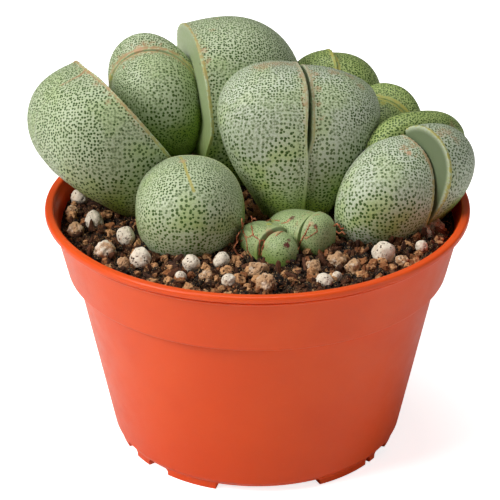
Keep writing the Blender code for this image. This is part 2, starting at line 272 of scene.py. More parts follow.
def gap_cutter(start, end):
    """A block of ring between two angles, in degrees from the front, with its upper corners rounded."""
    shape = bmesh.new()
    inner, outer = FOOT_RADIUS - FOOT_WIDTH - CUT_INSIDE, FOOT_RADIUS + CUT_OUTSIDE
    steps = max(6, round(end - start))
    columns = []
    for step in range(steps + 1):
        share = step / steps
        near_end = min(share, 1 - share) * math.radians(end - start) * FOOT_RADIUS
        rise = FOOT_GAP_HEIGHT - GAP_ROUNDING * max(0, 1 - near_end / GAP_ROUNDING) ** 2
        angle = math.radians(start + (end - start) * share - 90)
        across, along = math.cos(angle) * MM, math.sin(angle) * MM
        corners = [(inner, -CUT_BELOW), (outer, -CUT_BELOW), (outer, rise), (inner, rise)]
        columns.append([shape.verts.new((radius * across, radius * along, z * MM))
                        for radius, z in corners])
    for one, other in zip(columns, columns[1:]):
        for k in range(4):
            shape.faces.new((one[k], one[(k + 1) % 4], other[(k + 1) % 4], other[k]))
    shape.faces.new(columns[0])
    shape.faces.new(columns[-1])
    bmesh.ops.recalc_face_normals(shape, faces=shape.faces)
    shape.transform(Matrix.Translation(pot_axis))
    return new_piece("gap_cutter", mesh_from(shape, "gap_cutter"))


def hole_cutter(number):
    angle = math.radians(DRAIN_TURN + 360 * number / DRAIN_HOLES)
    place = pot_axis + Vector((math.cos(angle), math.sin(angle), 0)) * DRAIN_CIRCLE_RADIUS * MM
    place.z = (FOOT_HEIGHT + FLOOR / 2) * MM
    shape = bmesh.new()
    bmesh.ops.create_cone(shape, cap_ends=True, segments=40,
                          radius1=(DRAIN_HOLE_RADIUS + DRAIN_HOLE_TAPER) * MM,
                          radius2=(DRAIN_HOLE_RADIUS - DRAIN_HOLE_TAPER) * MM, depth=3 * FLOOR * MM,
                          matrix=Matrix.Translation(place))
    return new_piece("hole_cutter", mesh_from(shape, "hole_cutter"))


outline = pot_outline()
outline_mesh = bpy.data.meshes.new("moulded_pot")
outline_mesh.from_pydata([((point.x - LIP_RADIUS) * MM, -point.y * MM, 0) for point in outline],
                         [(number, (number + 1) % len(outline)) for number in range(len(outline))], [])
moulded_pot = new_piece("moulded_pot", outline_mesh)
wall_tree, wall_sockets = turned_wall_tree()
grown(moulded_pot, wall_tree, wall_sockets,
      {"Sides": POT_SIDES, "Radius": LIP_RADIUS * MM, "Material": pot_plastic()})
moulded_pot.data.transform(Matrix.Translation(pot_axis))
wall_shape = bmesh.new()
wall_shape.from_mesh(moulded_pot.data)
bmesh.ops.remove_doubles(wall_shape, verts=wall_shape.verts, dist=0.001 * MM)
bmesh.ops.recalc_face_normals(wall_shape, faces=wall_shape.faces)
wall_shape.to_mesh(moulded_pot.data)
wall_shape.free()
cutters = [gap_cutter(start + half, end + half) for half in (0, 180) for start, end in FOOT_GAPS]
cutters += [hole_cutter(number) for number in range(DRAIN_HOLES)]
for cutter in cutters:
    cut = moulded_pot.modifiers.new("cut", "BOOLEAN")
    cut.operation = "DIFFERENCE"
    cut.object = cutter
applied(moulded_pot)
for cutter in cutters:
    bpy.data.objects.remove(cutter)
moulded_pot.data.set_sharp_from_angle(angle=math.radians(40))
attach(moulded_pot, "root")
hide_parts("pot")


# Leaves. Each pair is two water-filled leaves face to face, waxy and grey-green, with dark green dots
# where light enters, a pale toothed line along the rim and a tan, corky skin where the tips are worn.

# The foot of a leaf's inner face is "at" a place from the pot's axis. Its dome faces the azimuth, it leans
# outwards and rolls sideways, all in degrees. Flare and belly widen and thicken it upwards, square is how
# boxy its outline is, and fused is the share of its height in which it is joined to its partner. The other
# shapes are in millimetres: the face's dish and cheek, the dome's brow and keel, how far the foot goes down
# (root), and how far it is pressed on its partner (seat). The rest is what its skin shows, and its mesh.
# Foot adds grey bloom and painted shade low on the dome; a face below 1 is painted shade on the inner face.
COMMON = dict(roll=0, flare=0.1, belly=0.0, square=2.3, dish=0.0, brow=0.0, cheek=0, root=0, keel=0.0,
              seat=0.0, fused=0.2, line=1.0, tan=1.0, face=1.0, foot=0.0, skin="grey", around=160, rings=104)
REAR = dict(COMMON, around=112, rings=80, tan=0.2, skin="green")
SMALL = dict(COMMON, around=96, rings=64, line=0.15, skin="small")
LEAVES = {
    "heart_left_leaf": dict(
        COMMON, at=(11.4, 4, 68), azimuth=189, lean=-2.5, roll=-1.5, width=37, height=61,
        thick=22.5, flare=0.4, belly=1.2, brow=1.5, seat=1.2, fused=0.55, line=0.6),
    "heart_right_leaf": dict(
        COMMON, at=(12.8, 4, 68), azimuth=9, lean=3.7, roll=3, width=36, height=59.5, thick=20.5,
        flare=0.4, belly=1.3, seat=2.6, fused=0.55, line=0.7),
    "egg_front_leaf": dict(
        COMMON, at=(-20.5, -15.8, 69), azimuth=-104, lean=-8, roll=-4, width=36, height=36.5,
        thick=23.5, square=2.1, line=0.4, tan=0.2, foot=1.0, skin="fresh"),
    "egg_back_leaf": dict(
        REAR, at=(-20.4, -14.6, 71), azimuth=76, lean=5, width=29, height=30, thick=9, square=2.1,
        seat=1.0, fused=0.9),
    "right_front_leaf": dict(
        COMMON, at=(42.5, -3, 66.5), azimuth=-138, lean=-4, roll=10, width=30, height=43, thick=24,
        flare=0.2, belly=-0.2, square=2.1, foot=0.8),
    "right_back_leaf": dict(
        COMMON, at=(43.6, -1.2, 68), azimuth=42, lean=2, roll=-20.5, width=26, height=48, thick=23,
        flare=0.6, belly=0.3, square=2.1, line=1.3, tan=0.15, face=0.2),
    "bud_left_leaf": dict(
        SMALL, at=(4.9, -29.1, 74), azimuth=132, lean=0, width=14, height=13.5, thick=14, seat=0.4),
    "bud_right_leaf": dict(
        SMALL, at=(5.3, -30.3, 72.7), azimuth=-48, lean=2, width=11.6, height=14.5, thick=8.3,
        seat=0.4),
    "sprout_left_leaf": dict(
        SMALL, at=(17.2, -22.7, 73), azimuth=144, lean=1, width=15.5, height=16, thick=16,
        seat=0.5),
    "sprout_right_leaf": dict(
        SMALL, at=(17.5, -23.2, 73), azimuth=-38, lean=1, width=14, height=17, thick=7, seat=0.3),
    "old_left_leaf": dict(
        COMMON, at=(-22.5, 23, 79.3), azimuth=208, lean=37, roll=4, width=46, height=62, thick=28,
        belly=0.5, square=2.9, dish=1, brow=5.3, root=12, keel=1.0, skin="fresh"),
    "old_right_leaf": dict(
        COMMON, at=(-17, 29, 64), azimuth=15, lean=-4, roll=0, width=45, height=69.5, thick=35,
        flare=0.5, belly=0.4, brow=2.5, seat=4, fused=0.45, tan=0.6, skin="fresh"),
    "young_front_leaf": dict(
        COMMON, at=(-23.3, 26, 90), azimuth=-94, lean=6, roll=-25, width=30, height=40, thick=15.2,
        flare=0.4, belly=-0.2, square=2.0, seat=0.6, fused=1.0, skin="fresh"),
    "young_back_leaf": dict(
        REAR, at=(-23.4, 26.6, 89.6), azimuth=86, lean=-5, roll=25, width=31, height=41, thick=14,
        flare=0.4, square=2.0, brow=6, seat=0.6, fused=1.0, tan=1.0, skin="fresh"),
    "right_outer_leaf": dict(
        COMMON, at=(41, 13, 66), azimuth=117, lean=-20, roll=-10, width=40, height=50, thick=12,
        flare=0.45, cheek=6, line=0.0, skin="green"),
    "rear_left_leaf": dict(
        REAR, at=(25.5, 44, 66), azimuth=192, lean=0.5, width=26, height=53, thick=15.5, flare=0.3,
        belly=0.5, seat=0.8, fused=1.0),
    "rear_right_leaf": dict(
        REAR, at=(26, 44, 66), azimuth=12, lean=0.5, width=26, height=52, thick=16, flare=0.3,
        belly=0.5, seat=0.8, fused=1.0),
    "corner_front_leaf": dict(
        REAR, at=(41.5, 27, 66), azimuth=240, lean=0.5, width=30, height=42.5, thick=12, seat=0.8,
        fused=1.0),
    "corner_back_leaf": dict(
        REAR, at=(41.8, 27.4, 66), azimuth=60, lean=1, width=30, height=43, thick=14, brow=4.5,
        seat=0.8, fused=1.0),
}
# The way from the plant to the camera, on which the dots are laid out
FRONT = np.array((0, -0.895, 0.446))
LEAF_SEED = 11
LUMP_HEIGHT = 0.35
LUMP_WAVES = 9
SHORTEST_LUMP = 9
LONGEST_LUMP = 32
RIM_ROUNDING = 0.8
RIM_RIDGE = 0.22
RIDGE_WIDTH = 0.7
RIDGE_TEETH = 60
FULL_WIDTH = 30
RING_CROWDING = 1.45
FACE_SHARPNESS = 7
WIDTH_HEIGHT = 0.6
THICKNESS_HEIGHT = 0.5
CLEFT_RAMP = 0.16
SEAT_LET_GO = 0.65
KEEL_START = 0.25
KEEL_RAMP = 0.6
KEEL_WIDTH = 2.2
KEEL_OUT = 0.8
KEEL_UP = 0.5
ROOT_SHARE = 0.3
PATCH_SPACING = 0.09


def read_vectors(vertices, key):
    """Every vertex's place or normal, as the rows of an array."""
    values = np.zeros(len(vertices) * 3)
    vertices.foreach_get(key, values)
    return values.reshape(-1, 3)


def unit_sphere(around, rings):
    """A sphere whose rings crowd towards the equator, where the leaf's rim is."""
    shape = bmesh.new()
    bmesh.ops.create_uvsphere(shape, u_segments=around, v_segments=rings, radius=1)
    mesh = mesh_from(shape, "leaf")
    points = read_vectors(mesh.vertices, "co")
    slant = np.arcsin(np.clip(points[:, 2], -1, 1)) / (math.pi / 2)
    slant = np.sign(slant) * np.abs(slant) ** RING_CROWDING * math.pi / 2
    flat = np.hypot(points[:, 0], points[:, 1])
    shrink = np.cos(slant) / np.maximum(flat, 1e-9)
    points[:, 0] *= shrink
    points[:, 1] *= shrink
    points[:, 2] = np.sin(slant)
    return mesh, points


def turning(axis, degrees):
    return np.array(Matrix.Rotation(math.radians(degrees), 3, axis))


def leaf_points(unit, leaf):
    """Moves a unit sphere's points to the leaf's place, in millimetres. Its +Z is the dome, its -Z the
    inner face. Also gives what the skin reads, such as the millimetres from the rim and the height."""
    power = leaf["square"]
    flat = np.maximum(np.hypot(unit[:, 0], unit[:, 1]), 1e-9)
    edge = abs(unit[:, 0] / flat) ** power + abs(unit[:, 1] / flat) ** power
    edge = np.maximum(edge, 0.01) ** (-1 / power)
    reach = (abs(unit) ** power).sum(1) ** (-1 / power)
    on_dome = unit[:, 2] >= 0
    spread = np.where(on_dome, reach, edge)
    across, along = unit[:, 0] * spread, unit[:, 1] * spread
    dome = np.clip(unit[:, 2] * reach, 0, 1)
    face = -(1 - np.clip(flat, 0, 1) ** FACE_SHARPNESS) ** (1 / FACE_SHARPNESS)
    height = (along + 1) / 2
    side = across * leaf["width"] / 2 * (1 + leaf["flare"] * (height - WIDTH_HEIGHT))
    up = height * leaf["height"] + leaf["brow"] * np.sin(math.pi * dome) * np.maximum(along, 0)
    thick = leaf["thick"] * (1 + leaf["belly"] * (height - THICKNESS_HEIGHT))
    cheek = leaf["cheek"] * np.sqrt(np.clip(1 - flat ** 2, 0, 1))
    out = np.where(on_dome, RIM_ROUNDING + dome * (thick - RIM_ROUNDING),
                   RIM_ROUNDING * (1 + face) - cheek)
    out = out + leaf["dish"] * (1 - (2 * height - 1) ** 2)
    share_open = np.clip((height - leaf["fused"]) / CLEFT_RAMP, 0, 1)
    share_open = share_open ** 2 * (3 - 2 * share_open)
    out = out - leaf["seat"] * (1 - SEAT_LET_GO * share_open) * (1 - dome) ** 3
    keel = np.exp(-(side / KEEL_WIDTH) ** 2) * np.clip((along - KEEL_START) / KEEL_RAMP, 0, 1)
    keel = leaf["keel"] * keel * np.clip(dome * 6, 0, 1)
    out = out + KEEL_OUT * keel
    up = up + KEEL_UP * keel
    turn = turning("Z", leaf["azimuth"]) @ turning("Y", leaf["lean"]) @ turning("X", -leaf["roll"])
    points = np.stack([out, side, up], 1) @ turn.T + np.array(leaf["at"])
    points[:, 2] -= np.maximum(0, 1 - height / ROOT_SHARE) ** 2 * leaf["root"]
    rim = np.where(on_dome, dome * thick, -(1 - flat) * leaf["width"] / 2)
    if leaf["cheek"]:
        rim = np.full(len(points), leaf["thick"])
    line = leaf["line"] * (share_open if leaf["fused"] < 1 else np.ones(len(points)))
    facts = {"rim": rim, "height": height, "line": line}
    for key in ("tan", "face", "foot"):
        facts[key] = np.full(len(points), leaf[key])
    return points, facts


def lumps(points, draw):
    """Soft unevenness, in millimetres: a few waves in random directions."""
    total = np.zeros(len(points))
    for _ in range(LUMP_WAVES):
        direction = np.array([draw.uniform(-1, 1) for _ in range(3)])
        length = draw.uniform(SHORTEST_LUMP, LONGEST_LUMP)
        wave = points @ (direction / np.linalg.norm(direction)) * math.tau / length
        total += np.sin(wave + draw.uniform(0, math.tau)) * length / LONGEST_LUMP
    return total / math.sqrt(LUMP_WAVES)


def flat_places(points, number):
    """The points projected from the leaf's middle on to a plane, in metres, so that dots stay round. The
    half that looks away from the front is folded back on to it, and each leaf gets its own part."""
    steps = points - points.mean(axis=0)
    reach = np.linalg.norm(steps, axis=1)
    ahead = np.clip(steps @ FRONT / reach, -1, 1)
    right, up = steps[:, 0], steps @ np.cross(FRONT, (-1, 0, 0))
    flat = np.maximum(np.hypot(right, up), 1e-6)
    slope = np.arccos(abs(ahead))
    unrolled = reach * 2 * np.tan(slope / 2) / flat
    places = np.zeros((len(points), 3))
    places[:, 0] = right * unrolled * MM + number * PATCH_SPACING
    places[:, 1] = up * unrolled * MM
    return places


def store(mesh, name, values, kind="FLOAT", part="value"):
    """Writes values on the mesh's points under this name."""
    mesh.attributes.new(name, kind, "POINT").data.foreach_set(part, values.astype(np.float32).ravel())


def place_vertices(mesh, points):
    mesh.vertices.foreach_set("co", (points * MM + np.array(pot_axis)).astype(np.float32).ravel())
    mesh.update()


def leaf_shape(leaf, number):
    """One leaf's mesh, with soft lumps, a fine toothed ridge along its rim, and what its skin reads."""
    mesh, unit = unit_sphere(leaf["around"], leaf["rings"])
    points, facts = leaf_points(unit, leaf)
    place_vertices(mesh, points)
    draw = random.Random(LEAF_SEED + number)
    size = min(1.0, leaf["width"] / FULL_WIDTH)
    ridge = RIM_RIDGE * np.exp(-(facts["rim"] / RIDGE_WIDTH) ** 2)
    teeth = 0.6 + 0.4 * np.sin(np.arctan2(unit[:, 1], unit[:, 0]) * (RIDGE_TEETH + number))
    rise = lumps(points, draw) * LUMP_HEIGHT * size + ridge * teeth * size * facts["line"]
    place_vertices(mesh, points + read_vectors(mesh.vertices, "normal") * rise[:, None])
    for key, values in facts.items():
        store(mesh, key, values)
    store(mesh, "skin_place", flat_places(points, number), "FLOAT_VECTOR", "vector")
    mesh.shade_smooth()
    return mesh


leaf_pieces = {name: new_piece(name.replace("_leaf", "_skin"), leaf_shape(leaf, number))
               for number, (name, leaf) in enumerate(LEAVES.items())}
bpy.context.view_layer.update()
graph = bpy.context.evaluated_depsgraph_get()
leaf_trees = {name: BVHTree.FromObject(piece, graph) for name, piece in leaf_pieces.items()}

CAMERA_ELEVATION = 26.4
CAMERA_DISTANCE = 703.0
CAMERA_LENS = 151.5
CAMERA_SENSOR = 36.0
CAMERA_AIM = Vector((-2.455, 0, 65.37))
PICTURE_SIZE = 500
tilt = math.radians(CAMERA_ELEVATION)
camera_aim = pot_axis + CAMERA_AIM * MM
camera_place = camera_aim + Vector((0, -math.cos(tilt), math.sin(tilt))) * CAMERA_DISTANCE * MM


def line_of_sight(across, down):
    """The direction in which the camera sees a place of its square picture."""
    step = CAMERA_SENSOR / CAMERA_LENS / PICTURE_SIZE
    right, up = (across - PICTURE_SIZE / 2) * step, (PICTURE_SIZE / 2 - down) * step
    ahead = Vector((0, math.cos(tilt), -math.sin(tilt)))
    return (ahead + Vector((right, 0, 0)) + Vector((0, math.sin(tilt), math.cos(tilt))) * up).normalized()


def seen_on_leaf(across, down, names=None):
    """The nearest leaf's surface there: its place and normal, or None twice."""
    way = line_of_sight(across, down)
    hits = [leaf_trees[name].ray_cast(camera_place, way) for name in names or leaf_trees]
    hits = [hit for hit in hits if hit[0] is not None]
    if not hits:
        return None, None
    return min(hits, key=lambda hit: hit[3])[:2]


# Fine yellow or tan lines on a dome, by places across and down in the picture
CREASES = {
    "egg_front_leaf": [[(180, 157), (184, 163), (186, 170), (188.5, 177), (191, 184), (194, 191.5)]],
    "old_left_leaf": [[(59, 86), (66, 83), (73, 79), (80, 75.5), (86, 69)]],
    "rear_right_leaf": [[(334.6, 63.6), (338, 68), (341, 73)]],
}
NO_CREASE = 9.0


def crease_distances(name):
    """Each vertex's distance from the leaf's creases, in millimetres."""
    places = read_vectors(leaf_pieces[name].data.vertices, "co")
    nearest = np.full(len(places), NO_CREASE)
    for crease in CREASES.get(name, []):
        corners = [seen_on_leaf(across, down, [name])[0] for across, down in crease]
        corners = [np.array(corner) for corner in corners if corner is not None]
        for start, end in zip(corners, corners[1:]):
            along = np.clip((places - start) @ (end - start) / ((end - start) @ (end - start)), 0, 1)
            away = np.linalg.norm(places - start - along[:, None] * (end - start), axis=1) / MM
            nearest = np.minimum(nearest, away)
    return nearest


for name, piece in leaf_pieces.items():
    store(piece.data, "crease", crease_distances(name))

RUST = (0.44, 0.26, 0.13, 1)
SCAR = (0.11, 0.022, 0.018, 1)
PEACH = (0.55, 0.33, 0.19, 1)
YELLOW = (0.42, 0.40, 0.07, 1)
# Worn and healed places: across and down in the picture, size in millimetres, how solid, and colour
MARKS = {
    "grey": [(262, 66, 5.0, 0.65, RUST), (276, 63, 4.5, 0.6, RUST), (290, 64, 3.0, 0.5, RUST),
             (303, 75, 2.4, 0.7, RUST), (305, 90, 1.8, 0.5, RUST), (305, 104, 1.6, 0.5, RUST),
             (316, 74, 1.8, 0.8, RUST), (318, 88, 1.6, 0.7, RUST), (319, 104, 1.6, 0.6, RUST),
             (322, 118, 1.4, 0.5, RUST), (334, 72, 3.4, 0.6, RUST), (350, 76, 3.0, 0.6, RUST),
             (361, 86, 2.2, 0.5, RUST), (404, 148, 2.6, 0.7, RUST), (412, 146, 1.8, 0.6, RUST),
             (409, 153, 1.2, 0.9, PEACH), (416, 156, 1.4, 0.5, RUST), (446, 131, 3.5, 0.6, RUST),
             (440, 134, 2.6, 0.6, RUST), (456, 140, 2.6, 0.5, RUST)],
    "fresh": [(183, 161, 1.8, 0.5, PEACH), (237, 171, 1.0, 0.7, RUST), (84, 62, 2.2, 0.6, RUST),
              (88, 72, 1.8, 0.5, RUST), (96, 84, 1.8, 0.5, RUST), (108, 102, 1.6, 0.5, RUST),
              (139, 50, 2.2, 0.7, PEACH), (143, 45, 2.2, 0.4, RUST), (133, 58, 1.4, 0.6, RUST),
              (124, 67, 1.2, 0.7, RUST), (110, 77, 1.6, 0.7, YELLOW), (158, 51, 1.2, 0.7, RUST),
              (168, 55, 1.0, 0.6, RUST), (200, 64, 0.6, 1.0, SCAR), (204, 50, 2.0, 0.7, RUST),
              (208, 60, 1.8, 0.6, RUST), (217, 18.6, 0.8, 0.9, RUST), (212, 30, 1.6, 0.4, RUST)],
    "green": [(452, 126, 2.4, 0.5, RUST), (383, 103, 1.6, 0.7, YELLOW)],
    "small": [(287, 245, 1.5, 1.0, SCAR), (289, 240, 0.9, 0.8, SCAR), (270, 235, 2.4, 0.9, PEACH),
              (276, 232, 1.4, 0.7, PEACH), (292, 218, 1.3, 0.9, SCAR), (288, 221, 1.0, 0.7, PEACH),
              (315, 226, 1.1, 0.85, SCAR), (311, 224, 1.2, 0.5, PEACH), (272, 222, 1.4, 0.5, YELLOW),
              (269, 224, 1.2, 0.8, YELLOW), (306, 238, 1.0, 0.5, PEACH), (262, 246, 0.8, 0.5, SCAR)],
}


def marked(tree, place, rough, colour, marks):
    """The colour with each mark laid over it, broken up into flecks towards its edge."""
    for across, down, size, solid, tint in marks:
        centre = seen_on_leaf(across, down)[0]
        if centre is None:
            continue
        away = add(tree, "ShaderNodeVectorMath", {0: place, 1: centre}, operation="DISTANCE").outputs["Value"]
        near = ramp(tree, away, 1.25 * size * MM, 0.1 * size * MM)
        filled = 0.2 if tint == RUST else 0.34
        flecked = ramp(tree, maths(tree, "MULTIPLY_ADD", near, filled, rough), 0.60, 0.72, 0, solid)
        inside = ramp(tree, near, 0.0, 0.2)
        colour = mixed(tree, times(tree, flecked, inside), colour, tint)
    return colour


def stored(tree, name, output="Fac"):
    """What was stored on the mesh under this name."""
    return add(tree, "ShaderNodeAttribute", attribute_name=name).outputs[output]


def moved(tree, operation, place, inputs):
    """A Vector Math node's output."""
    return add(tree, "ShaderNodeVectorMath", {0: place, **inputs}, operation=operation).outputs[0]


def dot_layer(tree, place, scale, size, spread):
    """One round dot in each cell of the skin, of uneven size, and the greener skin round it."""
    cells = add(tree, "ShaderNodeTexVoronoi", {"Vector": place, "Scale": scale, "Randomness": 0.7},
                voronoi_dimensions="2D")
    lot = add(tree, "ShaderNodeSeparateColor", {0: cells.outputs["Color"]}).outputs[0]
    limit = maths(tree, "MULTIPLY_ADD", lot, spread, size)
    inwards = maths(tree, "SUBTRACT", limit, cells.outputs["Distance"])
    return ramp(tree, inwards, -0.03, 0.02), ramp(tree, inwards, -0.16, 0.0)


def leaf_skin(kind, green, bloom, bloom_share, dot_scale, dot_size):
    """Waxy leaf skin: green under a grey bloom, dark dots, a toothed rim line, worn tan patches, soil dust,
    and painted shade low on the leaf and on darker inner faces.
    """
    material, tree, place = nodes_for(kind + "_leaf_skin", 0.5, Specular_IOR_Level=0.35,
                                      Subsurface_Weight=0.06, Subsurface_Scale=0.0015,
                                      Subsurface_Radius=(0.5, 1.0, 0.3))
    facts = ("rim", "height", "line", "tan", "face", "foot", "crease")
    read = {key: stored(tree, key) for key in facts}
    wobble = add(tree, "ShaderNodeTexNoise", {"Vector": place, "Scale": 1300.0, "Detail": 2.0})
    wobble = moved(tree, "SUBTRACT", wobble.outputs["Color"], {1: (0.5, 0.5, 0.5)})
    wobble = moved(tree, "SCALE", wobble, {"Scale": 0.35 * MM})
    flat = moved(tree, "ADD", stored(tree, "skin_place", "Vector"), {1: wobble})
    broad = spots(tree, place, 60, 3, 0.55)
    high = ramp(tree, read["height"], 0.1, 0.85)
    clouded = maths(tree, "ADD", times(tree, high, 0.8), ramp(tree, broad, 0.35, 0.65, -0.2, 0.25))
    at_foot = times(tree, ramp(tree, read["height"], 0.55, 0.2), read["foot"])
    clouded = maths(tree, "ADD", clouded, at_foot)
    bloomed = times(tree, ramp(tree, clouded, 0.05, 0.85), bloom_share)
    colour = mixed(tree, bloomed, green, bloom)
    # Painted shade: the lowest part of a leaf with a foot value darkens towards a dark olive, for the
    # underside turned from the light.
    painted_foot_shade = times(tree, ramp(tree, read["height"], 0.32, 0.12), read["foot"])
    colour = mixed(tree, times(tree, painted_foot_shade, 0.75), colour, (0.10, 0.115, 0.055, 1))
    grainy = spots(tree, place, 1900, 2, 0.6)
    colour = mixed(tree, ramp(tree, grainy, 0.35, 0.65, 0, 0.5), colour, (0.55, 0.66, 0.45, 1), "MULTIPLY")
    on_dome = ramp(tree, read["rim"], 0.1, 0.8)

    dots, rings = dot_layer(tree, flat, dot_scale, dot_size, 0.12)
    small_dots, small_rings = dot_layer(tree, flat, dot_scale * 1.35, dot_size + 0.04, 0.1)
    crowded = maths(tree, "ADD", read["height"], ramp(tree, broad, 0.3, 0.7, -0.12, 0.12))
    crowded = ramp(tree, crowded, 0.66, 0.9)
    near_edge = ramp(tree, read["rim"], 3.5, 1.0)
    crowded = maths(tree, "MAXIMUM", crowded, near_edge)
    dots = add(tree, "ShaderNodeMix", {0: crowded, 2: dots, 3: small_dots}).outputs[0]
    dots = times(tree, dots, on_dome)
    rings = add(tree, "ShaderNodeMix", {0: crowded, 2: rings, 3: small_rings}).outputs[0]
    colour = mixed(tree, times(tree, rings, 0.3), colour, mixed(tree, 0.3, green, bloom))
    fade = ramp(tree, read["height"], 0.0, 0.3, 0.5, 0.98)
    patchy = ramp(tree, spots(tree, place, 150, 2), 0.35, 0.6, 0.85, 1.0)
    dot_colour = mixed(tree, high, (0.045, 0.125, 0.002, 1), (0.027, 0.070, 0.004, 1))
    solid = times(tree, dots, times(tree, fade, patchy))
    colour = mixed(tree, solid, colour, dot_colour)

    inner = ramp(tree, read["rim"], 0.1, -1.2)
    face = mixed(tree, ramp(tree, read["height"], 0.2, 0.8), (0.27, 0.36, 0.08, 1), (0.36, 0.44, 0.24, 1))
    # Painted shade: a face value below 1 darkens the inner face towards a dark green, as on the right back
    # leaf, whose face lies behind its partner.
    face = mixed(tree, read["face"], (0.10, 0.14, 0.075, 1), face)
    colour = mixed(tree, inner, colour, face)

    worn_height = ramp(tree, read["height"], 0.55, 0.95)
    flecks = ramp(tree, spots(tree, place, 800, 4, 0.75), 0.5, 0.62)
    near_rim = ramp(tree, read["rim"], 2.6, 0.4)
    worn = times(tree, times(tree, near_rim, flecks), worn_height)
    worn = times(tree, times(tree, worn, on_dome), read["tan"])
    colour = mixed(tree, times(tree, worn, 0.8), colour, RUST)
    edge_width = ramp(tree, spots(tree, place, 620, 3, 0.7), 0.35, 0.68, 0.12, 0.75)
    from_edge = maths(tree, "ABSOLUTE", maths(tree, "SUBTRACT", read["rim"], 0.15))
    edge_line = ramp(tree, from_edge, edge_width, 0.02)
    line_colour = mixed(tree, times(tree, worn_height, read["tan"]), YELLOW, (0.40, 0.22, 0.09, 1))
    edge_line = times(tree, edge_line, times(tree, read["line"], 0.85))
    colour = mixed(tree, edge_line, colour, line_colour)
    rough = spots(tree, place, 1500, 4, 0.75)
    crease = ramp(tree, maths(tree, "MULTIPLY_ADD", rough, -1.0, read["crease"]), 0.12, -0.22)
    colour = mixed(tree, times(tree, crease, 0.85), colour, mixed(tree, read["tan"], YELLOW, RUST))
    colour = marked(tree, place, rough, colour, MARKS[kind])
    # Soil dust and painted shade: the lowest part of every leaf turns a dark earthy brown.
    soil_dust_and_shade = maths(tree, "ADD", read["height"], ramp(tree, broad, 0.3, 0.7, -0.05, 0.05))
    soil_dust_and_shade = ramp(tree, soil_dust_and_shade, 0.16, 0.05)
    colour = mixed(tree, times(tree, soil_dust_and_shade, 0.7), colour, (0.13, 0.11, 0.055, 1))
    roughness = ramp(tree, spots(tree, place, 900, 3, 0.6), 0.3, 0.7, 0.42, 0.56)
    pits = times(tree, dots, -0.7)
    wrinkles = times(tree, spots(tree, place, 1500, 3, 0.6), 0.8)
    return finished(material, colour, maths(tree, "ADD", pits, wrinkles), 0.07 * MM, roughness)


# Each skin's green, its bloom, how much of the bloom shows, dots a metre and their size in cells
SKINS = {
    "grey": leaf_skin("grey", (0.40, 0.53, 0.10, 1), (0.56, 0.61, 0.49, 1), 1.0, 660, 0.23),
    "fresh": leaf_skin("fresh", (0.33, 0.46, 0.085, 1), (0.52, 0.58, 0.41, 1), 0.95, 680, 0.23),
    "green": leaf_skin("green", (0.24, 0.34, 0.045, 1), (0.40, 0.48, 0.20, 1), 0.8, 700, 0.24),
    "small": leaf_skin("small", (0.22, 0.34, 0.060, 1), (0.42, 0.50, 0.28, 1), 0.8, 950, 0.12),
}
for name, piece in leaf_pieces.items():
    piece.data.materials.append(SKINS[LEAVES[name]["skin"]])
    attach(piece, "root")
    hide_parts(name)


# Dry fibres. What is left of last year's leaves: thin coral-red threads, as crisp as paper, that lie
# over the two young heads and hang round their feet like a net.

SOIL_HEIGHT = 77.0
SMALL_HEADS = ["bud_left_leaf", "bud_right_leaf", "sprout_left_leaf", "sprout_right_leaf"]
FIBRE_SEED = 3
FIBRE_STEPS = 7
FIBRE_CRINKLE = 0.09
FIBRE_LIFT = 0.2
FIBRE_TIP = 0.4
THINNEST_FIBRE = 0.9
THICKEST_FIBRE = 1.7
HANGING_DEPTH = -30
HANGING_HEIGHT = 1.6
